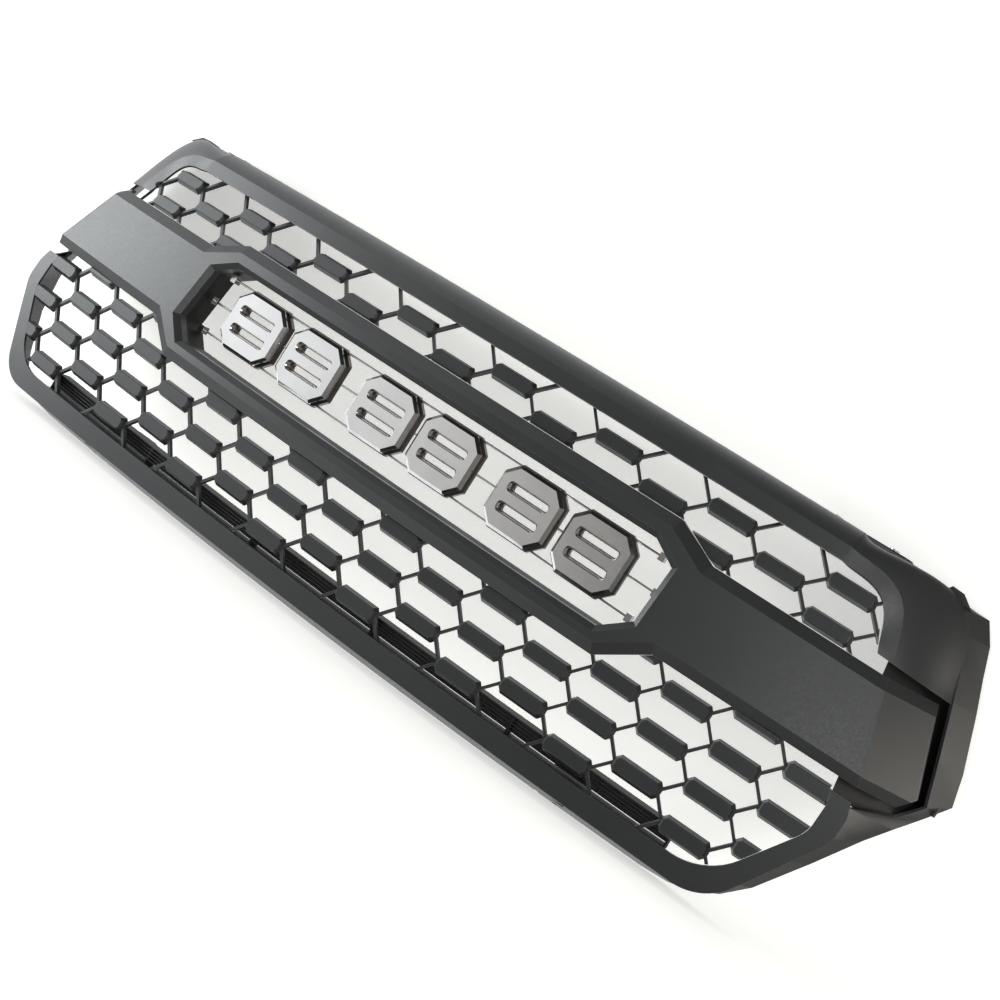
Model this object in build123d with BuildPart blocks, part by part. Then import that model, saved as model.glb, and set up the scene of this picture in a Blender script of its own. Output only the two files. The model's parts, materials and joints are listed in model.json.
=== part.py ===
from build123d import *
import math
import os

os.makedirs("parts", exist_ok=True)

# The frame: X to the right seen from the front, +Z up, the front faces -Y.
# The origin is midway between the two upper mounting holes, on the seat of their brackets.
FACE_DEPTH = 185.0  # from the front of the lower mesh, at the middle, back to the mounting holes
SEAT_HEIGHT = 303.5  # from the lowest row of mesh pads up to the bracket seat

# Mesh lattice
PITCH = 60.0  # half the distance between two pads of one row
LOWER_ROW_STEP = 19.54
UPPER_ROW_STEP = 18.5
UPPER_ROW_HEIGHT = 216.9
PAD_HALF_LENGTH = 22.0
PAD_HALF_HEIGHT = 6.5
PAD_END_HALF_HEIGHT = 3.5
PAD_TOP_HALF_LENGTH = 19.0
PAD_EDGE = 0.8  # the bevel round the front of a pad
PAD_FLARE = 2.6  # how much wider the base of a pad is than its front
PAD_DEPTH = 8.5
MOULD_DRAW = (0.0, 1.0, -0.12)  # the direction from the front of every pad back to its base
WEB_WIDTH = 3.0
WEB_DEPTH = 4.6
WEB_RECESS = 4.2  # how far the webs lie behind the pad fronts
CLEARANCE = 0.3  # between pieces that lie edge to edge

# Plates
TRIM_THICKNESS = 3.0
SHELL_THICKNESS = 3.0
BAR_THICKNESS = 3.2
BAR_SIDE_DEPTH = 16.0
BAR_CHAMFER_WIDTH = 11.0
BAR_CHAMFER_DEPTH = 8.0
BEVEL_WIDTH = 5.5
BEVEL_DEPTH = 6.0
SLEEVE_DEPTH = 30.0
SLEEVE_WALL = 2.5
REACH = 700.0  # longer than any piece, for cutting solids
SINK = 1.0  # how far a solid is sunk into another that it is joined to

# Badges
BADGE_DEPTH = 36.0
BADGE_HEIGHT = 158.0
BADGE_POSITIONS = (-216.4, -136.8, -39.3, 39.3, 136.8, 216.4)
BADGE_HALF_WIDTH = 34.5
BADGE_HALF_HEIGHT = 32.5
BADGE_THICKNESS = 8.8
BADGE_PLATE_THICKNESS = 6.0
WIRE_RADIUS = 1.2
WIRE_HEIGHTS = (127.3, 159.0, 189.6)
WIRE_HALF_LENGTHS = (278.0, 286.5, 274.5)

# Mounting
UPPER_HOLE_X = 395.0
LOWER_HOLE_X = 300.0
LOWER_HOLE_HEIGHT = -23.0
LOWER_HOLE_DEPTH = 97.0  # of the face that the lower brackets seat on
MOUNT_HOLE_RADIUS = 3.5
BRACKET_THICKNESS = 2.5
SCREW_RADIUS = 2.0
SCREW_HOLE_RADIUS = 2.3
SCREW_HEAD_RADIUS = 5.0


def at(x, depth, height):
    """A point given by its depth behind the lower mesh front and its height above the lowest row."""
    return Vector(x, depth - FACE_DEPTH, height - SEAT_HEIGHT)


FRONT = Plane(origin=at(0, 0, 0), x_dir=(1, 0, 0), z_dir=(0, -1, 0))


def front_plane(depth):
    """An upright plane facing forward, whose sketches are drawn as (x, height)."""
    return FRONT.offset(-depth)


def level_plane(height):
    """A level plane, whose sketches are drawn as (x, depth)."""
    return Plane(origin=at(0, 0, height), x_dir=(1, 0, 0), z_dir=(0, 0, 1))


def mirrored(points):
    """A symmetric outline from the points of its right half, in order from one middle to the other."""
    return points + [(-x, height) for x, height in reversed(points)]


class CurvedFace:
    """A face that sweeps back towards both ends: its depth grows with the square of x."""

    def __init__(self, height, depth, lean, bend, twist):
        self.height = height
        self.middle_depth = depth
        self.lean = lean
        self.bend = bend
        self.twist = twist

    def middle(self, height):
        return self.middle_depth + self.lean * (height - self.height)

    def curvature(self, height):
        return self.bend + self.twist * (height - self.height)

    def depth(self, x, height):
        return self.middle(height) + self.curvature(height) * x**2

    def plane(self, x, height):
        """The tangent plane, facing forward."""
        along = Vector(1, 2 * self.curvature(height) * x, 0)
        up = Vector(0, self.lean + self.twist * x**2, 1)
        return Plane(origin=at(x, self.depth(x, height), height), x_dir=along, z_dir=along.cross(up))


LOWER_FACE = CurvedFace(height=0.0, depth=0.0, lean=0.0, bend=1.829e-4, twist=3.68e-7)
UPPER_FACE = CurvedFace(height=UPPER_ROW_HEIGHT, depth=23.7, lean=0.2578, bend=2.688e-4, twist=5.4e-7)
BAR_FACE = CurvedFace(height=160.0, depth=-4.8, lean=0.164, bend=2.778e-4, twist=5.3e-7)


def curved_plate(face, bottom, top, behind, thickness, half_length):
    """A plate whose front lies behind a curved face, between two heights."""
    with BuildPart() as plate:
        for height in (bottom, top):
            middle = face.middle(height) + behind
            rise = face.curvature(height) * half_length**2
            with BuildSketch(level_plane(height)):
                with BuildLine():
                    left = (-half_length, middle + rise)
                    right = (half_length, middle + rise)
                    Bezier(left, (0, middle - rise), right)
                    Line(right, (half_length, middle + rise + thickness))
                    back_left = (-half_length, middle + rise + thickness)
                    back_right = (half_length, middle + rise + thickness)
                    Bezier(back_right, (0, middle - rise + thickness), back_left)
                    Line(back_left, left)
                make_face()
        loft(ruled=True)
    return plate.part


def save(piece, label):
    """Name a finished piece and write its file."""
    piece.label = label
    export_step(piece, f"parts/{label}.step")


# ---------------------------------------------------------------- outlines, drawn as (x, height)
# Half outlines run from the middle of one long edge to the middle of the other.
BAR_FOLD = [(486.0, 206.5), (514.5, 115.5)]  # where the end cap turns back
BAR_OUTLINE = [(271.0, 227.5), (313.5, 207.0), *BAR_FOLD, (316.0, 115.0), (273.0, 86.0)]
BAR_HOLLOW_OUTLINE = [(330.0, 192.0), (480.0, 192.0), (500.0, 130.0), (330.0, 130.0)]
RING_OPENING = [(261.8, 201.5), (287.3, 186.5), (287.1, 130.3), (262.0, 109.3)]
CAP_OUTLINE = [BAR_FOLD[0], (531.0, 209.5), (559.5, 131.0), (547.5, 116.0), BAR_FOLD[1]]
CAP_BACK_SLOPE = 1.15  # depth gained for each millimetre outward
CAP_THICKNESS = 12.0
RECESS_INNER_EDGE = [(553.0, 97.0), (499.0, 98.0), (476.0, 222.0)]
RECESS_OUTLINE = [*RECESS_INNER_EDGE, (543.0, 220.0), (566.0, 167.0), (575.0, 134.0), (560.0, 106.0)]
RECESS_SETBACK = 20.0  # of the recess floor behind the cap's face

LOWER_TRIM_OUTER = [(461.0, -37.0), (521.0, 66.0), (521.0, 89.0), (516.0, 103.0)]
LOWER_TRIM_OUTER_RADII = [52.0, 30.0, 20.0]
LOWER_TRIM_INNER = [(450.5, -17.0), (500.5, 62.0), (500.8, 92.0), (497.4, 103.0)]
LOWER_TRIM_INNER_RADII = [60.0, 30.0, 20.0]
UPPER_OPENING = [(441.0, 270.0), (476.0, 200.0)]
UPPER_OPENING_RADII = [28.0]


def closed_outline(points, radii):
    """A symmetric outline with rounded corners; corners that have no radius stay sharp."""
    rounding = radii + [0.0] * (len(points) - len(radii))
    with BuildSketch(FRONT) as outline:
        with BuildLine():
            FilletPolyline(*mirrored(points), radius=rounding + rounding[::-1], close=True)
        make_face()
    return outline.sketch_local


lower_outer = closed_outline(LOWER_TRIM_OUTER, LOWER_TRIM_OUTER_RADII)
lower_inner = closed_outline(LOWER_TRIM_INNER, LOWER_TRIM_INNER_RADII)
upper_opening = closed_outline(UPPER_OPENING, UPPER_OPENING_RADII)

with BuildSketch(FRONT) as bar_shadow:
    Polygon(*mirrored(BAR_OUTLINE), align=None)
    offset(amount=CLEARANCE, kind=Kind.INTERSECTION)


# ---------------------------------------------------------------- crossbar with its ring and ends
def cap_plane():
    """The plane of the right end cap: it passes through the fold line and leans back outward."""
    fold = [at(x, BAR_FACE.depth(x, height), height) for x, height in BAR_FOLD]
    outward = Vector(1, CAP_BACK_SLOPE, 0)
    return Plane(origin=fold[1], x_dir=outward, z_dir=outward.cross(fold[0] - fold[1]))


CAP = cap_plane()
BAR_BOTTOM = 60.0
BAR_TOP = 250.0
BAR_HALF_LENGTH = 560.0
CAP_EDGE_RADIUS = 7.0  # of the outer edge of the end cap

bar_slab = curved_plate(BAR_FACE, BAR_BOTTOM, BAR_TOP, 0.0, BAR_SIDE_DEPTH, BAR_HALF_LENGTH)
bar_core = curved_plate(BAR_FACE, BAR_BOTTOM, BAR_TOP, BAR_THICKNESS, BAR_SIDE_DEPTH, BAR_HALF_LENGTH)

with BuildPart() as wing_hollow:
    add(bar_core)
    with BuildSketch(FRONT):
        Polygon(*BAR_HOLLOW_OUTLINE, align=None)
        mirror(about=Plane.YZ)
    extrude(amount=REACH, both=True, mode=Mode.INTERSECT)

with BuildPart() as end_cap:
    with BuildSketch(CAP):
        Rectangle(REACH, REACH)
    extrude(amount=-CAP_THICKNESS)
    with BuildSketch(FRONT):
        Polygon(*CAP_OUTLINE, align=None)
    extrude(amount=REACH, both=True, mode=Mode.INTERSECT)
    cap_front = faces().sort_by(Axis(CAP.origin, CAP.z_dir))[-1]
    top_edge = cap_front.edges().sort_by(Axis.Z)[-1]
    chamfer(top_edge, length=BAR_CHAMFER_WIDTH, length2=BAR_CHAMFER_DEPTH, reference=cap_front)
    cap_front = faces().sort_by(Axis(CAP.origin, CAP.z_dir))[-1]
    bottom_edge = cap_front.edges().sort_by(Axis.Z)[0]
    chamfer(bottom_edge, length=BAR_CHAMFER_WIDTH, length2=BAR_CHAMFER_DEPTH, reference=cap_front)
    cap_front = faces().sort_by(Axis(CAP.origin, CAP.z_dir))[-1]
    outer_edge = cap_front.edges().sort_by(SortBy.LENGTH)[-2:].sort_by(Axis.X)[-1]
    fillet(outer_edge, radius=CAP_EDGE_RADIUS)

with BuildPart() as crossbar:
    add(bar_slab)
    with BuildSketch(FRONT):
        Polygon(*mirrored(BAR_OUTLINE), align=None)
    extrude(amount=REACH, both=True, mode=Mode.INTERSECT)
    bar_front = faces().group_by(SortBy.AREA)[-1].sort_by(Axis.Y)[0]
    long_edges = bar_front.edges().sort_by(Axis.X)[1:-1]
    chamfer(long_edges, length=BAR_CHAMFER_WIDTH, length2=BAR_CHAMFER_DEPTH, reference=bar_front)
    with BuildSketch(FRONT):
        Polygon(*mirrored(RING_OPENING), align=None)
    extrude(amount=REACH, both=True, mode=Mode.SUBTRACT)
    bar_front = faces().filter_by(lambda face: face.inner_wires()).sort_by(Axis.Y)[0]
    ring_edges = bar_front.inner_wires()[0].edges()
    chamfer(ring_edges, length=BEVEL_WIDTH, length2=BEVEL_DEPTH, reference=bar_front)
    add(wing_hollow.part, mode=Mode.SUBTRACT)
    add(end_cap.part)
    add(mirror(end_cap.part, about=Plane.YZ, mode=Mode.PRIVATE))
save(crossbar.part, "crossbar")

sleeve_slab = curved_plate(BAR_FACE, BAR_BOTTOM, BAR_TOP, BAR_SIDE_DEPTH, SLEEVE_DEPTH, BAR_HALF_LENGTH)

with BuildPart() as ring_sleeve:
    add(sleeve_slab)
    with BuildSketch(FRONT):
        Polygon(*mirrored(RING_OPENING), align=None)
        offset(amount=SLEEVE_WALL, kind=Kind.INTERSECTION)
        Polygon(*mirrored(RING_OPENING), align=None, mode=Mode.SUBTRACT)
    extrude(amount=REACH, both=True, mode=Mode.INTERSECT)
save(ring_sleeve.part, "ring_sleeve")


# ---------------------------------------------------------------- mesh pads and webs
def octagon(half_length, half_height, corner, end_half_height):
    """The corners of a pad, with its long edges level and its ends cut at the corners."""
    right = [(corner, half_height), (half_length, end_half_height)]
    right += [(x, -y) for x, y in reversed(right)]
    return right + [(-x, y) for x, y in reversed(right)]


def pad_outline(grow):
    """The outline of a pad, grown all round."""
    return octagon(
        PAD_HALF_LENGTH + grow,
        PAD_HALF_HEIGHT + grow,
        PAD_TOP_HALF_LENGTH + grow / 2,
        PAD_END_HALF_HEIGHT + grow / 4,
    )


def pad_on(plane):
    """A pad whose front lies on a plane, with a bevelled edge and a base set back along the mould draw."""
    draw = Vector(*MOULD_DRAW)
    base_origin = plane.origin + draw * (PAD_DEPTH / abs(draw.dot(plane.z_dir)))
    with BuildPart() as pad:
        with BuildSketch(plane):
            Polygon(*pad_outline(-PAD_EDGE), align=None)
        with BuildSketch(plane.offset(-PAD_EDGE)):
            Polygon(*pad_outline(0.0), align=None)
        with BuildSketch(Plane(origin=base_origin, x_dir=plane.x_dir, z_dir=plane.z_dir)):
            Polygon(*pad_outline(PAD_FLARE), align=None)
        loft(ruled=True)
    return pad.part


NODE_X = PAD_HALF_LENGTH + PAD_FLARE  # where the webs meet a pad, measured from its centre
NODE_HEIGHT = PAD_END_HALF_HEIGHT
WEB_OVERLAP = 4.0
RIM_OVERLAP = 9.0  # the webs of the outermost pads run on to the rim


def web_block(length):
    """A web along X, with its front at the recess depth."""
    with BuildPart() as web:
        with BuildSketch(Plane.XY.offset(-WEB_RECESS)):
            Rectangle(length, WEB_WIDTH)
        extrude(amount=-WEB_DEPTH)
    return web.part


def web_plane(face, start, end):
    """The plane of a web that runs between two (x, height) points of a face."""
    middle = face.plane((start[0] + end[0]) / 2, (start[1] + end[1]) / 2)
    along = at(end[0], face.depth(*end), end[1]) - at(start[0], face.depth(*start), start[1])
    return Plane(origin=middle.origin, x_dir=along, z_dir=middle.z_dir)


class Lattice:
    """Rows of pads, each row half a pitch sideways from the one below it."""

    def __init__(self, face, base, step, rows, odd_first, reach):
        self.face = face
        self.base = base
        self.step = step
        self.rows = rows
        self.first_column = 1 if odd_first else 0
        self.reach = reach

    def columns(self, row):
        parity = (self.first_column + row) % 2
        return [column for column in range(-self.reach, self.reach + 1) if column % 2 == parity]

    def height(self, row):
        return self.base + self.step * row

    def pad_planes(self):
        return [
            self.face.plane(PITCH * column, self.height(row))
            for row in range(self.rows)
            for column in self.columns(row)
        ]

    def web_planes(self, rim):
        """Planes of the webs between the rows, or of those that run past the first and last row."""
        planes = []
        for row in range(-1, self.rows):
            if rim != (row in (-1, self.rows - 1)):
                continue
            for column in self.columns(row):
                for side in (-1, 1):
                    start = (PITCH * column + side * NODE_X, self.height(row) + NODE_HEIGHT)
                    end = (PITCH * (column + side) - side * NODE_X, self.height(row + 1) - NODE_HEIGHT)
                    planes.append(web_plane(self.face, start, end))
        return planes


def web_length(lattice):
    return math.hypot(PITCH - 2 * NODE_X, lattice.step - 2 * NODE_HEIGHT) + 2 * WEB_OVERLAP


def mesh_body(lattice, region, rim_strip):
    """The pads, webs and rim strip of one mesh, kept inside a region and clear of the crossbar."""
    inner_web = web_block(web_length(lattice))
    rim_web = web_block(web_length(lattice) + RIM_OVERLAP)
    with BuildPart() as mesh:
        for plane in lattice.pad_planes():
            add(pad_on(plane))
        with Locations(*lattice.web_planes(rim=False)):
            add(inner_web)
        with Locations(*lattice.web_planes(rim=True)):
            add(rim_web)
        with BuildSketch(FRONT):
            add(region)
            add(bar_shadow.sketch_local, mode=Mode.SUBTRACT)
        extrude(amount=REACH, both=True, mode=Mode.INTERSECT)
        add(rim_strip)
    return mesh.part.solids().sort_by(SortBy.VOLUME)[-1]


LOWER_ROWS = 7
UPPER_ROWS = 3
COLUMN_REACH = 8
STRIP_HALF_LENGTH = 400.0
STRIP_BEHIND = 4.6
STRIP_THICKNESS = 2.6
LOWER_STRIP = (-26.0, -17.6)  # from its lower to its upper edge
UPPER_STRIP = (272.4, 281.0)
UNDER_BAR = (90.0, 125.0)  # the lower mesh runs up to the crossbar between these heights
UNDER_BAR_HALF_LENGTH = 496.0
STRIP_MARGIN = 3.0  # how far the webs may run past the strip
STUD_POSITIONS = (-360.0, -240.0, -120.0, 0.0, 120.0, 240.0, 360.0)
STUD_RADIUS = 2.0
STUD_HOLE_RADIUS = 2.4
STUD_LENGTH = 12.0
LOWER_STUD_HEIGHT = -21.8
UPPER_STUD_HEIGHT = 276.8

lower_lattice = Lattice(LOWER_FACE, 0.0, LOWER_ROW_STEP, LOWER_ROWS, odd_first=True, reach=COLUMN_REACH)
upper_lattice = Lattice(UPPER_FACE, UPPER_ROW_HEIGHT, UPPER_ROW_STEP, UPPER_ROWS, True, COLUMN_REACH)


def strip(face, edges):
    return curved_plate(face, edges[0], edges[1], STRIP_BEHIND, STRIP_THICKNESS, STRIP_HALF_LENGTH)


def strip_region(opening, edges):
    """The opening, less a clearance, with the band where the webs run behind its long edge."""
    with BuildSketch(FRONT) as region:
        add(opening)
        offset(amount=-CLEARANCE, kind=Kind.INTERSECTION)
        with Locations((0, (edges[0] + edges[1]) / 2)):
            Rectangle(2 * STRIP_HALF_LENGTH, edges[1] - edges[0] + 2 * STRIP_MARGIN)
    return region.sketch_local


def with_stud_holes(mesh, height):
    """A mesh with the holes that the studs of its trim pass through."""
    with BuildPart() as drilled:
        add(mesh)
        with BuildSketch(FRONT):
            with Locations(*[(x, height) for x in STUD_POSITIONS]):
                Circle(STUD_HOLE_RADIUS)
        extrude(amount=REACH, both=True, mode=Mode.SUBTRACT)
    return drilled.part


with BuildSketch(FRONT) as lower_region:
    add(strip_region(lower_inner, LOWER_STRIP))
    with Locations((0, UNDER_BAR[0])):
        Rectangle(
            2 * UNDER_BAR_HALF_LENGTH,
            UNDER_BAR[1] - UNDER_BAR[0],
            align=(Align.CENTER, Align.MIN),
        )

lower_mesh = mesh_body(lower_lattice, lower_region.sketch_local, strip(LOWER_FACE, LOWER_STRIP))
upper_region = strip_region(upper_opening, UPPER_STRIP)
upper_mesh = mesh_body(upper_lattice, upper_region, strip(UPPER_FACE, UPPER_STRIP))
save(with_stud_holes(lower_mesh, LOWER_STUD_HEIGHT), "lower_mesh")
save(with_stud_holes(upper_mesh, UPPER_STUD_HEIGHT), "upper_mesh")


# ---------------------------------------------------------------- trims round the openings
def stud_row(face, height, behind):
    """Studs that stand back from a trim, behind a curved face."""
    with BuildPart() as studs:
        for x in STUD_POSITIONS:
            with BuildSketch(front_plane(face.depth(x, height) + behind)):
                with Locations((x, height)):
                    Circle(STUD_RADIUS)
            extrude(amount=-STUD_LENGTH)
    return studs.part


TRIM_BOTTOM = -60.0
TRIM_TOP = 140.0
TRIM_HALF_LENGTH = 560.0
TRIM_MOUTH = 12.0  # height of the cut that opens the top of the trim's inner outline

with BuildPart() as lower_trim:
    add(curved_plate(LOWER_FACE, TRIM_BOTTOM, TRIM_TOP, 0.0, TRIM_THICKNESS, TRIM_HALF_LENGTH))
    with BuildSketch(FRONT):
        add(lower_outer)
        add(lower_inner, mode=Mode.SUBTRACT)
        with Locations((0, LOWER_TRIM_OUTER[-1][1])):
            Rectangle(2 * LOWER_TRIM_INNER[-1][0], TRIM_MOUTH, mode=Mode.SUBTRACT)
    extrude(amount=REACH, both=True, mode=Mode.INTERSECT)
    add(stud_row(LOWER_FACE, LOWER_STUD_HEIGHT, TRIM_THICKNESS - SINK))
save(lower_trim.part, "lower_trim")

# Each station of the hood is the edge of the opening, the crease, and the ridge: (x, depth, height).
HOOD_BEND = 2.7e-4
HOOD_BULGE = 7.0
HOOD_THICKNESS = 3.0
HOOD_LIP = 1.2  # how far the inside of the crease lies in front of the outside
HOOD_STRAIGHT_X = (0.0, 140.0, 280.0, 400.0)
HOOD_EDGE = (33.0, 271.5)
HOOD_CREASE = (36.0, 286.0)
HOOD_RIDGE = (80.0, 304.0)
HOOD_CORNER = [
    [(431.1, 87.1, 268.1), (437.9, 93.6, 281.2), (470.0, 140.5, 303.8)],
    [(445.3, 92.3, 260.9), (456.2, 98.8, 272.1), (503.1, 157.8, 295.4)],
    [(458.6, 93.6, 238.8), (473.2, 97.0, 244.6), (529.1, 158.1, 248.3)],
    [(466.6, 91.6, 219.4), (482.0, 95.5, 218.6), (539.5, 150.0, 215.6)],
]


def hood_straight():
    """Stations of the straight stretch, from the left corner to the right one."""
    half = []
    for x in HOOD_STRAIGHT_X:
        sweep_back = HOOD_BEND * x**2
        half.append([(x, depth + sweep_back, height) for depth, height in (HOOD_EDGE, HOOD_CREASE, HOOD_RIDGE)])
    other_half = [[(-x, depth, height) for x, depth, height in station] for station in reversed(half[1:])]
    return other_half + half


def hood_stretch(stations):
    """One stretch of the hood: a flange beside the opening, then a roll back to the ridge."""
    with BuildPart() as stretch:
        for station in stations:
            edge, crease, ridge = [at(*point) for point in station]
            flange = crease - edge
            plane = Plane(origin=edge, x_dir=flange, z_dir=flange.cross(ridge - crease))
            crease = plane.to_local_coords(crease)
            ridge = plane.to_local_coords(ridge)
            chord = ridge - crease
            outward = Vector(chord.Y, -chord.X, 0).normalized()
            roll = (crease + ridge) / 2 + outward * HOOD_BULGE
            inner_edge = Vector(0, HOOD_THICKNESS, 0)
            inner_crease = crease + Vector(-HOOD_LIP, HOOD_THICKNESS, 0)
            inner_roll = roll - outward * HOOD_THICKNESS
            inner_ridge = ridge - Vector(HOOD_THICKNESS, 0, 0)
            with BuildSketch(plane):
                with BuildLine():
                    Line((0, 0), crease)
                    ThreePointArc(crease, roll, ridge)
                    Line(ridge, inner_ridge)
                    ThreePointArc(inner_ridge, inner_roll, inner_crease)
                    Line(inner_crease, inner_edge)
                    Line(inner_edge, (0, 0))
                make_face()
        loft()
    return stretch.part


hood_corner = hood_stretch([hood_straight()[-1]] + HOOD_CORNER)

with BuildPart() as upper_trim:
    add(hood_stretch(hood_straight()))
    add(hood_corner)
    add(mirror(hood_corner, about=Plane.YZ, mode=Mode.PRIVATE))
    for x in STUD_POSITIONS:
        with BuildSketch(front_plane(HOOD_EDGE[0] + HOOD_BEND * x**2 + HOOD_THICKNESS)):
            with Locations((x, UPPER_STUD_HEIGHT)):
                Circle(STUD_RADIUS)
        extrude(amount=-STUD_LENGTH)
save(upper_trim.part, "upper_trim")


# ---------------------------------------------------------------- base shell
# Each station is a point of the front edge and one of the back edge: (x, depth, height).
SKIRT_HALF_LENGTH = 400.0
SKIRT_FRONT_HEIGHT = -35.5
SKIRT_BACK = (28.0, -48.5)
SKIRT_BEND = 2.0e-4
SHELL_LAND = 3.4  # the front edge lies this far behind the trim's front
SHELL_CORNER = [
    ((425.0, -35.6), (426.6, 64.0, -46.5)),
    ((444.0, -32.0), (448.4, 67.0, -40.5)),
    ((459.0, -23.5), (467.9, 71.0, -29.3)),
    ((474.5, -8.0), (487.3, 79.0, -9.4)),
    ((499.0, 31.0), (516.0, 93.0, 35.0)),
    ((518.0, 67.0), (541.0, 117.0, 74.5)),
]
SHELL_STEP = [
    ((518.0, 62.5, 98.0), (556.5, 136.0, 95.0)),
    ((552.3, 123.0, 106.0), (573.0, 165.0, 114.8)),
    ((569.5, 131.0, 128.0), (588.5, 178.0, 137.0)),
]
SHELL_SIDE = [
    ((557.0, 142.0, 167.0), (581.0, 183.0, 167.0)),
    ((540.0, 151.0, 218.0), (562.5, 188.0, 219.0)),
    ((529.6, 159.0, 248.3), (550.5, 191.0, 249.5)),
    ((517.6, 162.5, 275.1), (540.0, 193.0, 278.5)),
    ((503.6, 158.8, 295.4), (527.0, 193.0, 299.0)),
    ((489.0, 151.5, 301.4), (505.0, 188.0, 299.5)),
    ((470.5, 142.0, 303.8), (480.0, 182.0, 301.0)),
]
SHELL_TOP_FRONT = (81.0, 304.0)
SHELL_TOP_BACK = (125.0, 301.0)


def swept_station(x, front, back, bend):
    """A station of a straight stretch, swept back like the rest of the grille."""
    front_x = (x, front[0] + bend * x**2, front[1])
    back_x = (x, back[0] + bend * x**2, back[1])
    return front_x, back_x


def skirt_station(x):
    front_depth = LOWER_FACE.depth(x, SKIRT_FRONT_HEIGHT) + SHELL_LAND
    return (x, front_depth, SKIRT_FRONT_HEIGHT), (x, SKIRT_BACK[0] + SKIRT_BEND * x**2, SKIRT_BACK[1])


skirt_stations = [skirt_station(x) for x in (0.0, SKIRT_HALF_LENGTH / 2, SKIRT_HALF_LENGTH)]
corner_stations = []
for (x, height), back_point in SHELL_CORNER:
    corner_stations.append(((x, LOWER_FACE.depth(x, height) + SHELL_LAND, height), back_point))
top_stations = [
    swept_station(x, SHELL_TOP_FRONT, SHELL_TOP_BACK, HOOD_BEND) for x in (400.0, 260.0, 130.0, 0.0)
]
shell_stations = skirt_stations + corner_stations + SHELL_STEP + SHELL_SIDE + top_stations


def shell_planes():
    """For each station: the plane of the strip's section, from its front edge, and the strip's width."""
    points = [(at(*front), at(*back)) for front, back in shell_stations]
    planes = []
    for index, (front, back) in enumerate(points):
        if index in (0, len(points) - 1):
            along = Vector(1 if index == 0 else -1, 0, 0)
        else:
            along = points[index + 1][0] - points[index - 1][0]
        inward = along.cross(back - front)
        across = back - front
        planes.append((Plane(origin=front, x_dir=across, z_dir=across.cross(inward)), across.length))
    return planes


def band(planes, ruled=False):
    """A strip from the front edge to the back edge, thickened towards the inside of the shell."""
    with BuildPart() as strip_part:
        for plane, width in planes:
            with BuildSketch(plane):
                Rectangle(width, SHELL_THICKNESS, align=(Align.MIN, Align.MIN))
        loft(ruled=ruled)
    return strip_part.part


SKIRT_END = len(skirt_stations) - 1
CORNER_END = SKIRT_END + len(corner_stations)
STEP_END = CORNER_END + len(SHELL_STEP)
SIDE_END = STEP_END + len(SHELL_SIDE)
planes = shell_planes()
shell_stretches = [
    band(planes[: SKIRT_END + 1]),
    band(planes[SKIRT_END : CORNER_END + 1], ruled=True),
    band(planes[CORNER_END : STEP_END + 1], ruled=True),
    band(planes[STEP_END : SIDE_END + 1], ruled=True),
    band(planes[SIDE_END:]),
]

# Seats for the brackets: (x, depth, height) of the lower front left corner, and the size.
UPPER_SEAT_SIZE = (100.0, 27.0, 4.5)
UPPER_SEAT_CORNER = (345.0, 140.0, SEAT_HEIGHT - UPPER_SEAT_SIZE[2])
LOWER_SEAT_SIZE = (40.0, 18.0, 5.0)
LOWER_SEAT_CORNER = (280.0, 35.0, -43.0)
UPPER_SCREWS = [(365.0, 154.0), (425.0, 158.0)]
LOWER_SCREWS = [(290.0, 45.0), (310.0, 45.0)]
SEAT_HOLE_DEPTH = 20.0


def block(corner, size):
    """A box from its lower front left corner."""
    with BuildPart() as box:
        with BuildSketch(level_plane(corner[2])):
            with Locations((corner[0] + size[0] / 2, corner[1] + size[1] / 2)):
                Rectangle(size[0], size[1])
        extrude(amount=size[2])
    return box.part


UPPER_SEAT_TOP = SEAT_HEIGHT
LOWER_SEAT_TOP = LOWER_SEAT_CORNER[2] + LOWER_SEAT_SIZE[2]

# Small tabs at the upper corners and locating pins on the steps beside the end caps.
END_TAB_OUTLINE = [(480.0, 299.5), (485.0, 307.0), (497.0, 306.0), (510.0, 296.0)]
END_TAB_DEPTHS = (158.0, 178.0)
PIN_CENTRE = (577.5, 156.0)
PIN_RADIUS = 2.3
PIN_HEIGHTS = (122.5, 134.5)

with BuildPart() as half_shell:
    add(shell_stretches)
    with BuildSketch(front_plane(END_TAB_DEPTHS[0])):
        Polygon(*END_TAB_OUTLINE, align=None)
    extrude(amount=END_TAB_DEPTHS[0] - END_TAB_DEPTHS[1])
    with BuildSketch(level_plane(PIN_HEIGHTS[0])):
        with Locations(PIN_CENTRE):
            Circle(PIN_RADIUS)
    extrude(amount=PIN_HEIGHTS[1] - PIN_HEIGHTS[0])
    add(block(UPPER_SEAT_CORNER, UPPER_SEAT_SIZE))
    add(block(LOWER_SEAT_CORNER, LOWER_SEAT_SIZE))
    for top, centres in ((UPPER_SEAT_TOP, UPPER_SCREWS), (LOWER_SEAT_TOP, LOWER_SCREWS)):
        with BuildSketch(level_plane(top)):
            with Locations(*centres):
                Circle(SCREW_HOLE_RADIUS)
        extrude(amount=-SEAT_HOLE_DEPTH, mode=Mode.SUBTRACT)

with BuildPart() as base_shell:
    add(half_shell.part)
    mirror(about=Plane.YZ)
save(base_shell.part, "base_shell")

# The floors of the recesses round the end caps fill the shell from wall to wall.
with BuildPart() as recess_right:
    with BuildSketch(CAP.offset(-RECESS_SETBACK)):
        Rectangle(REACH, REACH)
    extrude(amount=-SHELL_THICKNESS)
    with BuildSketch(FRONT):
        Polygon(*RECESS_OUTLINE, align=None)
    extrude(amount=REACH, both=True, mode=Mode.INTERSECT)
    add(half_shell.part, mode=Mode.SUBTRACT)

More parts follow.
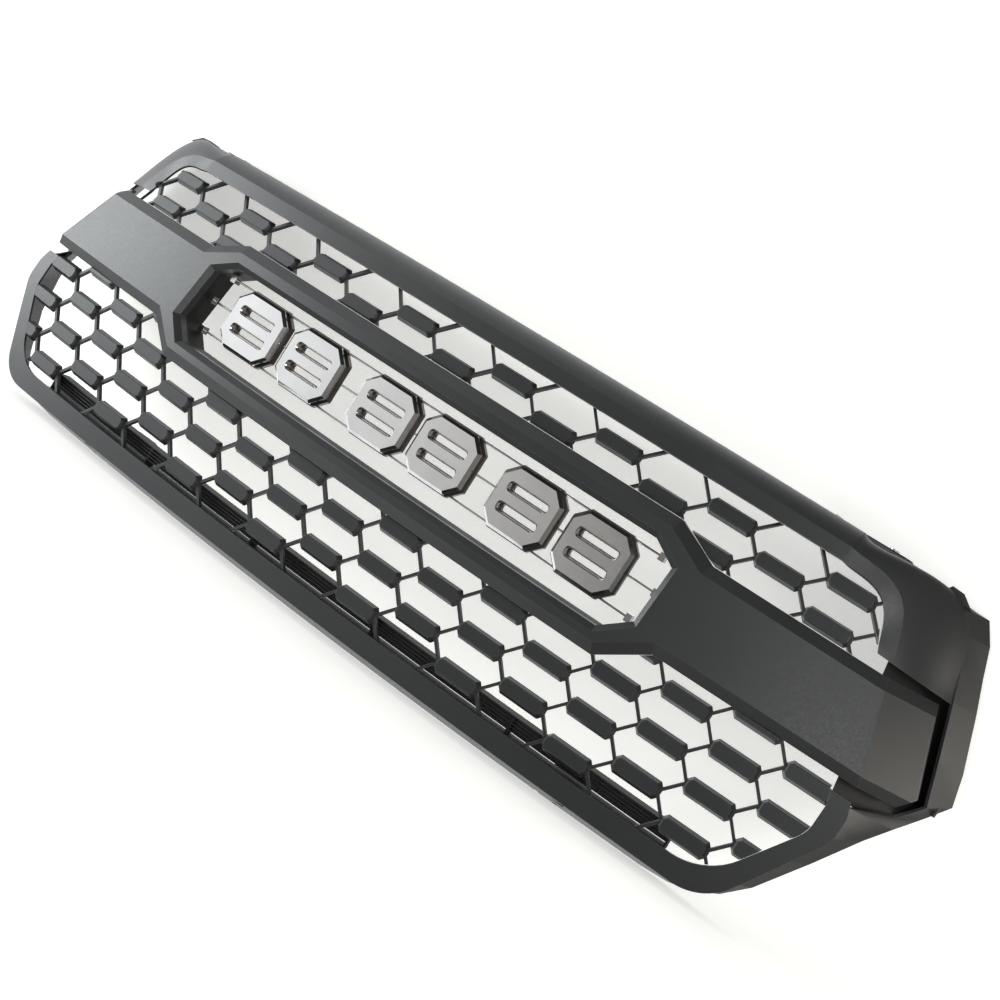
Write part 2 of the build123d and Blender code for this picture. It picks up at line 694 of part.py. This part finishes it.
recess_liner = recess_right.part.solids().sort_by(SortBy.VOLUME)[-1]
for side, piece in (
    ("right", recess_liner),
    ("left", mirror(recess_liner, about=Plane.YZ)),
):
    save(piece, f"recess_liner_{side}")


# ---------------------------------------------------------------- brackets and their screws
UPPER_BRACKET_CORNER = (UPPER_SEAT_CORNER[0], 142.0, SEAT_HEIGHT)
UPPER_BRACKET_SIZE = (UPPER_SEAT_SIZE[0], 58.0, BRACKET_THICKNESS)
BRACKET_CORNER_RADIUS = 8.0

with BuildPart() as upper_bracket:
    add(block(UPPER_BRACKET_CORNER, UPPER_BRACKET_SIZE))
    fillet(edges().filter_by(Axis.Z), radius=BRACKET_CORNER_RADIUS)
    with BuildSketch(level_plane(SEAT_HEIGHT)):
        with Locations((UPPER_HOLE_X, FACE_DEPTH)):
            Circle(MOUNT_HOLE_RADIUS)
        with Locations(*UPPER_SCREWS):
            Circle(SCREW_HOLE_RADIUS)
    extrude(amount=BRACKET_THICKNESS, mode=Mode.SUBTRACT)

LOWER_FOOT_CORNER = (LOWER_SEAT_CORNER[0], LOWER_SEAT_CORNER[1], LOWER_SEAT_TOP)
LOWER_FOOT_SIZE = (LOWER_SEAT_SIZE[0], LOWER_HOLE_DEPTH - LOWER_SEAT_CORNER[1], BRACKET_THICKNESS)
LOWER_LEG_CORNER = (LOWER_SEAT_CORNER[0], LOWER_HOLE_DEPTH - BRACKET_THICKNESS, LOWER_SEAT_TOP)
LOWER_LEG_SIZE = (LOWER_SEAT_SIZE[0], BRACKET_THICKNESS, 27.0)

with BuildPart() as lower_bracket:
    add(block(LOWER_FOOT_CORNER, LOWER_FOOT_SIZE))
    add(block(LOWER_LEG_CORNER, LOWER_LEG_SIZE))
    fillet(edges().filter_by(Axis.Y).group_by(Axis.Z)[-1], radius=BRACKET_CORNER_RADIUS)
    with BuildSketch(level_plane(LOWER_SEAT_TOP)):
        with Locations(*LOWER_SCREWS):
            Circle(SCREW_HOLE_RADIUS)
    extrude(amount=BRACKET_THICKNESS, mode=Mode.SUBTRACT)
    with BuildSketch(front_plane(LOWER_HOLE_DEPTH - BRACKET_THICKNESS)):
        with Locations((LOWER_HOLE_X, LOWER_HOLE_HEIGHT)):
            Circle(MOUNT_HOLE_RADIUS)
    extrude(amount=-BRACKET_THICKNESS, mode=Mode.SUBTRACT)

for name, bracket in (("upper_bracket", upper_bracket.part), ("lower_bracket", lower_bracket.part)):
    save(bracket, f"{name}_right")
    save(mirror(bracket, about=Plane.YZ), f"{name}_left")

SCREW_HEAD_HEIGHT = 2.0
SCREW_LENGTH = 8.0
SCREW_SOCKET_RADIUS = 1.7
SCREW_SOCKET_DEPTH = 1.2

with BuildPart() as screws:
    seats = (
        (UPPER_SEAT_TOP + BRACKET_THICKNESS, UPPER_SCREWS),
        (LOWER_SEAT_TOP + BRACKET_THICKNESS, LOWER_SCREWS),
    )
    for top, centres in seats:
        with BuildSketch(level_plane(top)):
            with Locations(*centres):
                Circle(SCREW_HEAD_RADIUS)
        extrude(amount=SCREW_HEAD_HEIGHT)
        with BuildSketch(level_plane(top)):
            with Locations(*centres):
                Circle(SCREW_RADIUS)
        extrude(amount=-SCREW_LENGTH)
        with BuildSketch(level_plane(top + SCREW_HEAD_HEIGHT)):
            with Locations(*centres):
                RegularPolygon(SCREW_SOCKET_RADIUS, 6)
        extrude(amount=-SCREW_SOCKET_DEPTH, mode=Mode.SUBTRACT)
    mirror(about=Plane.YZ)
save(screws.part, "bracket_screws")

NUT_RADIUS = 4.2
NUT_THICKNESS = 1.2
NUT_GAP = 0.2


def nut_row(face, height):
    """Push nuts that hold a mesh strip on the studs of its trim."""
    with BuildPart() as nuts:
        for x in STUD_POSITIONS:
            slope = abs(2 * face.curvature(height) * x) + face.lean
            behind = STRIP_BEHIND + STRIP_THICKNESS + slope * NUT_RADIUS + NUT_GAP
            with BuildSketch(front_plane(face.depth(x, height) + behind)):
                with Locations((x, height)):
                    Circle(NUT_RADIUS)
                    Circle(STUD_HOLE_RADIUS, mode=Mode.SUBTRACT)
            extrude(amount=-NUT_THICKNESS)
    return nuts.part


save(nut_row(LOWER_FACE, LOWER_STUD_HEIGHT), "lower_trim_nuts")
save(nut_row(UPPER_FACE, UPPER_STUD_HEIGHT), "upper_trim_nuts")


# ---------------------------------------------------------------- louvre below the lower mesh
LOUVRE_BEHIND = 20.0
LOUVRE_DEPTH = 18.0
LOUVRE_HALF_LENGTH = 410.0
FIN_HEIGHTS = (-16.0, -12.8, -9.6, -6.4, -3.2)
FIN_THICKNESS = 1.3
LOUVRE_BASE = (-24.0, -20.5)
RIB_POSITIONS = (-409.0, -240.0, -80.0, 80.0, 240.0, 409.0)
RIB_THICKNESS = 2.0

with BuildPart() as louvre:
    for height in FIN_HEIGHTS:
        top = height + FIN_THICKNESS
        add(curved_plate(LOWER_FACE, height, top, LOUVRE_BEHIND, LOUVRE_DEPTH, LOUVRE_HALF_LENGTH))
    add(curved_plate(LOWER_FACE, *LOUVRE_BASE, LOUVRE_BEHIND, LOUVRE_DEPTH, LOUVRE_HALF_LENGTH))
    for x in RIB_POSITIONS:
        depth = LOWER_FACE.depth(x, LOUVRE_BASE[0]) + LOUVRE_BEHIND + SINK
        corner = (x - RIB_THICKNESS / 2, depth, LOUVRE_BASE[0] + SINK)
        add(block(corner, (RIB_THICKNESS, LOUVRE_DEPTH - 3 * SINK, FIN_HEIGHTS[-1] - LOUVRE_BASE[0])))
save(louvre.part, "louvre")


# ---------------------------------------------------------------- badges and the frame that carries them
BADGE_CORNER = 13.0
BADGE_SLOT_HEIGHT = 8.0
BADGE_SLOT_HALF_LENGTH = 22.0
BADGE_SLOT_OFFSET = 10.5
BADGE_SLOT_CORNER = 3.0
BADGE_CHAMFER = 3.0
BADGE_SLOT_CHAMFER = 1.5
BADGE_GAP = 0.2
BADGE_STUDS = [(-27.0, 14.0), (27.0, -14.0)]
BADGE_STUD_LENGTH = 12.0
PLATE_MARGIN = 1.6  # how far the backing plate stands out round its badge
WIRE_DEPTH = BADGE_DEPTH + BADGE_THICKNESS + BADGE_GAP + BADGE_PLATE_THICKNESS / 2
WIRE_CLEARANCE = 0.1


def badge_outline(margin=0.0):
    """An eight-sided block with two level slots."""
    half_width = BADGE_HALF_WIDTH + margin
    half_height = BADGE_HALF_HEIGHT + margin
    with BuildSketch(Plane.XY) as outline:
        Polygon(
            *octagon(half_width, half_height, half_width - BADGE_CORNER, half_height - BADGE_CORNER),
            align=None,
        )
        with Locations((0, BADGE_SLOT_OFFSET), (0, -BADGE_SLOT_OFFSET)):
            RectangleRounded(
                2 * (BADGE_SLOT_HALF_LENGTH - margin),
                BADGE_SLOT_HEIGHT - margin,
                BADGE_SLOT_CORNER - margin / 2,
                mode=Mode.SUBTRACT,
            )
    return outline.sketch


def wires(radius):
    """The level wires that link the badge plates."""
    with BuildPart() as grid:
        for height, half_length in zip(WIRE_HEIGHTS, WIRE_HALF_LENGTHS):
            start = at(-half_length, WIRE_DEPTH, height)
            with BuildSketch(Plane(origin=start, z_dir=(1, 0, 0))):
                Circle(radius)
            extrude(amount=2 * half_length)
    return grid.part


wire_holes = wires(WIRE_RADIUS + WIRE_CLEARANCE)
nut_plane_depth = BADGE_DEPTH + BADGE_THICKNESS + BADGE_GAP + BADGE_PLATE_THICKNESS + NUT_GAP

for number, x in enumerate(BADGE_POSITIONS, start=1):
    badge_front = Plane(origin=at(x, BADGE_DEPTH, BADGE_HEIGHT), x_dir=(1, 0, 0), z_dir=(0, -1, 0))
    with BuildPart() as badge:
        with BuildSketch(badge_front):
            add(badge_outline())
        extrude(amount=-BADGE_THICKNESS)
        front = faces().sort_by(Axis.Y)[0]
        chamfer(front.outer_wire().edges(), length=BADGE_CHAMFER)
        slot_edges = faces().sort_by(Axis.Y)[0].inner_wires()
        chamfer([edge for wire in slot_edges for edge in wire.edges()], length=BADGE_SLOT_CHAMFER)
        with BuildSketch(badge_front.offset(SINK - BADGE_THICKNESS)):
            with Locations(*BADGE_STUDS):
                Circle(STUD_RADIUS)
        extrude(amount=-BADGE_STUD_LENGTH)
    save(badge.part, f"badge_{number}")
    with BuildPart() as badge_plate:
        with BuildSketch(badge_front.offset(-BADGE_THICKNESS - BADGE_GAP)):
            add(badge_outline(PLATE_MARGIN))
            with Locations(*BADGE_STUDS):
                Circle(STUD_HOLE_RADIUS, mode=Mode.SUBTRACT)
        extrude(amount=-BADGE_PLATE_THICKNESS)
        add(wire_holes, mode=Mode.SUBTRACT)
    save(badge_plate.part, f"badge_plate_{number}")

with BuildPart() as badge_nuts:
    with BuildSketch(front_plane(nut_plane_depth)):
        for x in BADGE_POSITIONS:
            with Locations(*[(x + stud[0], BADGE_HEIGHT + stud[1]) for stud in BADGE_STUDS]):
                Circle(NUT_RADIUS)
                Circle(STUD_HOLE_RADIUS, mode=Mode.SUBTRACT)
    extrude(amount=-NUT_THICKNESS)
save(badge_nuts.part, "badge_nuts")

LUG_SIZE = (6.0, 10.0, 8.0)

with BuildPart() as badge_wires:
    add(wires(WIRE_RADIUS))
    for height, half_length in zip(WIRE_HEIGHTS, WIRE_HALF_LENGTHS):
        corner = (half_length - LUG_SIZE[0], WIRE_DEPTH - LUG_SIZE[1] / 2, height - LUG_SIZE[2] / 2)
        lug = block(corner, LUG_SIZE)
        add(lug)
        add(mirror(lug, about=Plane.YZ, mode=Mode.PRIVATE))
save(badge_wires.part, "badge_wires")
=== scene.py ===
import json

import bpy
from mathutils import Matrix, Vector


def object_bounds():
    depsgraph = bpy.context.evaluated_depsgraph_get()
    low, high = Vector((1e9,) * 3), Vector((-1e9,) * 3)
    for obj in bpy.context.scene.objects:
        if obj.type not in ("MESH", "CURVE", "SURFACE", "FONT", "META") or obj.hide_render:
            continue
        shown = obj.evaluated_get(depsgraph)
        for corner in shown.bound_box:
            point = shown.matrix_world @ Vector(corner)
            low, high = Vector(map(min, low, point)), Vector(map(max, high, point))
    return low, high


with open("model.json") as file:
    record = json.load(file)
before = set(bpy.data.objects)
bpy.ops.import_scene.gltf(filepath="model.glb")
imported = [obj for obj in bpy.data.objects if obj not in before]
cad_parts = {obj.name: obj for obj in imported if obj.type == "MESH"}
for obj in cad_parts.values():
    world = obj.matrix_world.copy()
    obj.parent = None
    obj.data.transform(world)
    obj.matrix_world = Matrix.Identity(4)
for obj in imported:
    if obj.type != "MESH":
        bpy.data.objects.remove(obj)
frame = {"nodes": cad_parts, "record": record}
CAD_LOW, CAD_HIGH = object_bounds()
MM = 0.001
WHITE = (1.0, 1.0, 1.0)


# ---- camera: three-quarter view from the front right, rolled, a little below the top edge

CAMERA_PLACE = (0.5300, -1.2323, -0.0709)
CAMERA_RIGHT = (0.77685, 0.33722, 0.53177)
CAMERA_UP = (-0.51867, -0.13617, 0.84406)
CAMERA_LENS = 45.0
SENSOR_WIDTH = 36.0

camera_data = bpy.data.cameras.new("camera")
camera_data.lens = CAMERA_LENS
camera_data.sensor_width = SENSOR_WIDTH
camera = bpy.data.objects.new("camera", camera_data)
right = Vector(CAMERA_RIGHT).normalized()
up = Vector(CAMERA_UP)
up = (up - right * up.dot(right)).normalized()
turn = Matrix((right, up, right.cross(up))).transposed()
camera.matrix_world = Matrix.Translation(CAMERA_PLACE) @ turn.to_4x4()
bpy.context.scene.collection.objects.link(camera)
bpy.context.scene.camera = camera


# ---- node helpers

def new_material(name):
    material = bpy.data.materials.new(name)
    material.use_nodes = True
    tree = material.node_tree
    shader = tree.nodes["Principled BSDF"]
    return material, tree, shader


def add(tree, kind, **values):
    """A new node, with values set on its sockets or, failing that, on the node itself."""
    node = tree.nodes.new(kind)
    for key, value in values.items():
        if key in node.inputs:
            node.inputs[key].default_value = value
        else:
            setattr(node, key, value)
    return node


def noise(tree, scale, detail):
    place = tree.nodes.get("place") or tree.nodes.new("ShaderNodeTexCoord")
    place.name = "place"
    node = add(
        tree, "ShaderNodeTexNoise", Scale=scale, Detail=detail, Roughness=NOISE_ROUGHNESS
    )
    tree.links.new(place.outputs["Object"], node.inputs["Vector"])
    return node.outputs["Fac"]


def spread(tree, source, low, high, bounds):
    """Maps a source that runs between the two bounds to the range from low to high."""
    node = tree.nodes.new("ShaderNodeMapRange")
    node.inputs["From Min"].default_value = bounds[0]
    node.inputs["From Max"].default_value = bounds[1]
    node.inputs["To Min"].default_value = low
    node.inputs["To Max"].default_value = high
    tree.links.new(source, node.inputs["Value"])
    return node.outputs["Result"]


def mix_colour(tree, factor, first, second):
    node = tree.nodes.new("ShaderNodeMix")
    node.data_type = "RGBA"
    tree.links.new(factor, node.inputs[0])
    for socket, value in ((node.inputs[6], first), (node.inputs[7], second)):
        if isinstance(value, tuple):
            socket.default_value = (*value, 1.0)
        else:
            tree.links.new(value, socket)
    return node.outputs[2]


def bump(tree, height, strength, distance, normal=None):
    node = add(tree, "ShaderNodeBump", Strength=strength, Distance=distance)
    tree.links.new(height, node.inputs["Height"])
    if normal is not None:
        tree.links.new(normal, node.inputs["Normal"])
    return node.outputs["Normal"]


# ---- materials

NOISE_ROUGHNESS = 0.55
NOISE_BOUNDS = (0.3, 0.7)  # where most of a noise texture's values lie

EDGE_RADIUS = 1.2 * MM
EDGE_SAMPLES = 4
EDGE_BOUNDS = (0.86, 0.99)  # of the dot product between the rounded normal and the real one

PLASTIC_CLOUD = (9.0, 4.0)  # scale and detail of a noise
PLASTIC_SPECK = (420.0, 2.0)
PLASTIC_PEEL = (120.0, 1.0)
PLASTIC_GRAIN_DETAIL = 2.0
SMOOTHER = 0.04  # how far the roughness of a plastic runs below its middle value
ROUGHER = 0.05
PEEL_STRENGTH = 0.08
PEEL_DEPTH = 0.4 * MM
GRAIN_STRENGTH = 0.5

METAL_CLOUD = (30.0, 3.0)
METAL_SPECK = (160.0, 4.0)
METAL_GRAIN_DETAIL = 2.0
METAL_GRAIN_STRENGTH = 0.2


def edge_highlight_mask(tree):
    """Mask for the painted edge highlight: 1 on the outer edges, 0 on flat faces, from how far a
    rounded normal turns from the real one.
    """
    bevel = add(tree, "ShaderNodeBevel", Radius=EDGE_RADIUS)
    bevel.samples = EDGE_SAMPLES
    geometry = tree.nodes.new("ShaderNodeNewGeometry")
    dot = add(tree, "ShaderNodeVectorMath", operation="DOT_PRODUCT")
    tree.links.new(bevel.outputs["Normal"], dot.inputs[0])
    tree.links.new(geometry.outputs["Normal"], dot.inputs[1])
    return spread(tree, dot.outputs["Value"], 1.0, 0.0, EDGE_BOUNDS)


def plastic(name, dark, light, edge_highlight_colour, rough, grain_scale, grain_depth):
    """Moulded or coated black, with a cloudy tone, a painted highlight on the edges, a fine grain
    and a slight peel.
    """
    material, tree, shader = new_material(name)
    cloud = noise(tree, *PLASTIC_CLOUD)
    speck = noise(tree, *PLASTIC_SPECK)
    tone = mix_colour(tree, spread(tree, cloud, 0.0, 1.0, NOISE_BOUNDS), dark, light)
    # The paler colour on the rounded edges is a painted highlight, standing in for light catching
    # them.
    tone = mix_colour(tree, edge_highlight_mask(tree), tone, edge_highlight_colour)
    tree.links.new(tone, shader.inputs["Base Color"])
    gloss = spread(tree, speck, rough - SMOOTHER, rough + ROUGHER, NOISE_BOUNDS)
    tree.links.new(gloss, shader.inputs["Roughness"])
    peel = bump(tree, noise(tree, *PLASTIC_PEEL), PEEL_STRENGTH, PEEL_DEPTH)
    speckle = noise(tree, grain_scale, PLASTIC_GRAIN_DETAIL)
    grain = bump(tree, speckle, GRAIN_STRENGTH, grain_depth, peel)
    tree.links.new(grain, shader.inputs["Normal"])
    return material


def metal(name, dark, light, smoothest, roughest, grain_scale, grain_depth):
    """Plated or bare metal, with a cloudy tone, an uneven polish and a fine grain."""
    material, tree, shader = new_material(name)
    cloud = noise(tree, *METAL_CLOUD)
    tone = mix_colour(tree, spread(tree, cloud, 0.0, 1.0, NOISE_BOUNDS), dark, light)
    tree.links.new(tone, shader.inputs["Base Color"])
    speck = noise(tree, *METAL_SPECK)
    polish = spread(tree, speck, smoothest, roughest, NOISE_BOUNDS)
    tree.links.new(polish, shader.inputs["Roughness"])
    speckle = noise(tree, grain_scale, METAL_GRAIN_DETAIL)
    grain = bump(tree, speckle, METAL_GRAIN_STRENGTH, grain_depth)
    tree.links.new(grain, shader.inputs["Normal"])
    shader.inputs["Metallic"].default_value = 1.0
    return material


# Each edge colour below is a painted highlight along the rounded edges, paler than the black.
MATERIALS = {
    "satin_black": plastic(
        "satin_black",
        dark=(0.024, 0.026, 0.027),
        light=(0.031, 0.033, 0.034),
        edge_highlight_colour=(0.065, 0.068, 0.07),
        rough=0.38,
        grain_scale=1500.0,
        grain_depth=0.03 * MM,
    ),
    "mesh_black": plastic(
        "mesh_black",
        dark=(0.022, 0.024, 0.025),
        light=(0.028, 0.030, 0.031),
        edge_highlight_colour=(0.075, 0.078, 0.08),
        rough=0.42,
        grain_scale=1300.0,
        grain_depth=0.04 * MM,
    ),
    "inner_black": plastic(
        "inner_black",
        dark=(0.007, 0.007, 0.007),
        light=(0.011, 0.011, 0.010),
        edge_highlight_colour=(0.02, 0.02, 0.02),
        rough=0.62,
        grain_scale=900.0,
        grain_depth=0.05 * MM,
    ),
    "bracket_steel": plastic(
        "bracket_steel",
        dark=(0.018, 0.018, 0.019),
        light=(0.026, 0.026, 0.027),
        edge_highlight_colour=(0.10, 0.10, 0.10),
        rough=0.36,
        grain_scale=1100.0,
        grain_depth=0.03 * MM,
    ),
    "badge_chrome": metal(
        "badge_chrome",
        dark=(0.80, 0.80, 0.81),
        light=(0.88, 0.88, 0.88),
        smoothest=0.16,
        roughest=0.24,
        grain_scale=1400.0,
        grain_depth=0.008 * MM,
    ),
    "badge_backing": metal(
        "badge_backing",
        dark=(0.13, 0.12, 0.11),
        light=(0.18, 0.165, 0.15),
        smoothest=0.26,
        roughest=0.36,
        grain_scale=1200.0,
        grain_depth=0.01 * MM,
    ),
    "wire_chrome": metal(
        "wire_chrome",
        dark=(0.60, 0.60, 0.60),
        light=(0.72, 0.72, 0.72),
        smoothest=0.14,
        roughest=0.22,
        grain_scale=1500.0,
        grain_depth=0.01 * MM,
    ),
    "fastener_steel": metal(
        "fastener_steel",
        dark=(0.40, 0.39, 0.36),
        light=(0.56, 0.55, 0.52),
        smoothest=0.28,
        roughest=0.44,
        grain_scale=700.0,
        grain_depth=0.02 * MM,
    ),
}

for part in frame["record"]["subparts"]:
    slots = frame["nodes"][part["node"]].data.materials
    slots.clear()
    slots.append(MATERIALS[part["material_slot"]])


# ---- floor and backdrop

STAGE_SIDE = 40.0
FLOOR_GAP = 0.5 * MM  # between the object's lowest point and the floor
BACKDROP_GAP = 2 * MM  # between the object's rearmost point and the backdrop
FLOOR_GLOW = 0.55
BACKDROP_GLOW = 0.42
PAPER_DARK = (0.85, 0.85, 0.82)
PAPER_LIGHT = (0.88, 0.88, 0.85)
PAPER_NOISE = (60.0, 4.0)
PAPER_ROUGHNESS = 0.8
PAPER_GLOW_COLOUR = (1.0, 1.0, 0.98, 1.0)


def white_sheet(name, origin, side_a, side_b, glow):
    """A large pale sheet centred on a point and spanned by two directions."""
    mesh = bpy.data.meshes.new(name)
    half = STAGE_SIDE / 2
    steps = ((-half, -half), (half, -half), (half, half), (-half, half))
    corners = [Vector(origin) + Vector(side_a) * a + Vector(side_b) * b for a, b in steps]
    mesh.from_pydata(corners, [], [(0, 1, 2, 3)])
    sheet = bpy.data.objects.new(name, mesh)
    bpy.context.scene.collection.objects.link(sheet)
    material, tree, shader = new_material(name + "_paper")
    paper = mix_colour(tree, noise(tree, *PAPER_NOISE), PAPER_DARK, PAPER_LIGHT)
    tree.links.new(paper, shader.inputs["Base Color"])
    shader.inputs["Roughness"].default_value = PAPER_ROUGHNESS
    shader.inputs["Specular IOR Level"].default_value = 0.0
    shader.inputs["Emission Color"].default_value = PAPER_GLOW_COLOUR
    shader.inputs["Emission Strength"].default_value = glow
    mesh.materials.append(material)
    sheet.visible_glossy = False
    return sheet, tree, shader


white_sheet("floor", (0, 0, CAD_LOW.z - FLOOR_GAP), (1, 0, 0), (0, 1, 0), FLOOR_GLOW)

# The backdrop stands close behind the grille and shows only from the front.
backdrop, backdrop_tree, backdrop_shader = white_sheet(
    "backdrop", (0, CAD_HIGH.y + BACKDROP_GAP, 0), (1, 0, 0), (0, 0, 1), BACKDROP_GLOW
)
backdrop.visible_diffuse = False
backdrop.visible_transmission = False
backdrop.visible_shadow = False
facing = backdrop_tree.nodes.new("ShaderNodeNewGeometry")
clear = backdrop_tree.nodes.new("ShaderNodeBsdfTransparent")
one_sided = backdrop_tree.nodes.new("ShaderNodeMixShader")
surface = backdrop_tree.nodes["Material Output"].inputs["Surface"]
backdrop_tree.links.new(facing.outputs["Backfacing"], one_sided.inputs[0])
backdrop_tree.links.new(backdrop_shader.outputs[0], one_sided.inputs[1])
backdrop_tree.links.new(clear.outputs[0], one_sided.inputs[2])
backdrop_tree.links.new(one_sided.outputs[0], surface)


# ---- surroundings
# The light from all round is strongest from the left and behind, and weak from the right and the
# front, so that chrome and satin plastic have something to reflect. Seen directly, it is white.

BACKGROUND = 0.98
BRIGHT_SIDE = (-0.90, 0.30, -0.10)
TURN_BOUNDS = (-0.10, 0.35)  # of the dot product between a direction and the bright side
ROOM_DARK = 0.15
ROOM_BRIGHT = 1.15
DARK_TINT = (1.0, 0.93, 0.85)
BRIGHT_TINT = (0.97, 0.99, 1.0)

world = bpy.data.worlds.new("world")
bpy.context.scene.world = world
world.use_nodes = True
world_tree = world.node_tree
sky = world_tree.nodes["Background"]
direction = world_tree.nodes.new("ShaderNodeTexCoord")
towards = add(world_tree, "ShaderNodeVectorMath", operation="DOT_PRODUCT")
towards.inputs[1].default_value = BRIGHT_SIDE
world_tree.links.new(direction.outputs["Generated"], towards.inputs[0])
shade = spread(world_tree, towards.outputs["Value"], ROOM_DARK, ROOM_BRIGHT, TURN_BOUNDS)
seen_directly = world_tree.nodes.new("ShaderNodeLightPath").outputs["Is Camera Ray"]
strength = world_tree.nodes.new("ShaderNodeMix")
strength.data_type = "FLOAT"
world_tree.links.new(seen_directly, strength.inputs[0])
world_tree.links.new(shade, strength.inputs[2])
strength.inputs[3].default_value = BACKGROUND
world_tree.links.new(strength.outputs[0], sky.inputs["Strength"])
tint = mix_colour(world_tree, shade, DARK_TINT, BRIGHT_TINT)
tint = mix_colour(world_tree, seen_directly, tint, WHITE)
world_tree.links.new(tint, sky.inputs["Color"])


# ---- soft boxes, placed and aimed from the object's centre

def soft_box(name, place, target, size, power, colour):
    data = bpy.data.lights.new(name, "AREA")
    data.shape = "RECTANGLE"
    data.size, data.size_y = size
    data.energy = power
    data.color = colour
    light = bpy.data.objects.new(name, data)
    centre = (CAD_LOW + CAD_HIGH) / 2
    light.location = centre + Vector(place)
    aim = Vector(target) - Vector(place)
    light.rotation_mode = "QUATERNION"
    light.rotation_quaternion = aim.to_track_quat("-Z", "Y")
    bpy.context.scene.collection.objects.link(light)


COOL = (0.94, 0.98, 1.0)
WARM = (1.0, 0.95, 0.86)
MIDDLE = (0.0, 0.0, 0.0)
RIGHT_END = (0.5, 0.0, 0.0)

soft_box("key", (-2.2, -0.75, 0.30), MIDDLE, size=(1.5, 1.0), power=30.0, colour=COOL)
soft_box("front", (1.75, -1.95, 0.8), MIDDLE, size=(1.2, 0.8), power=16.0, colour=WHITE)
soft_box("rim", (1.7, 0.45, 0.1), RIGHT_END, size=(0.5, 0.8), power=6.0, colour=WARM)
bpy.context.scene.view_settings.view_transform = "Standard"
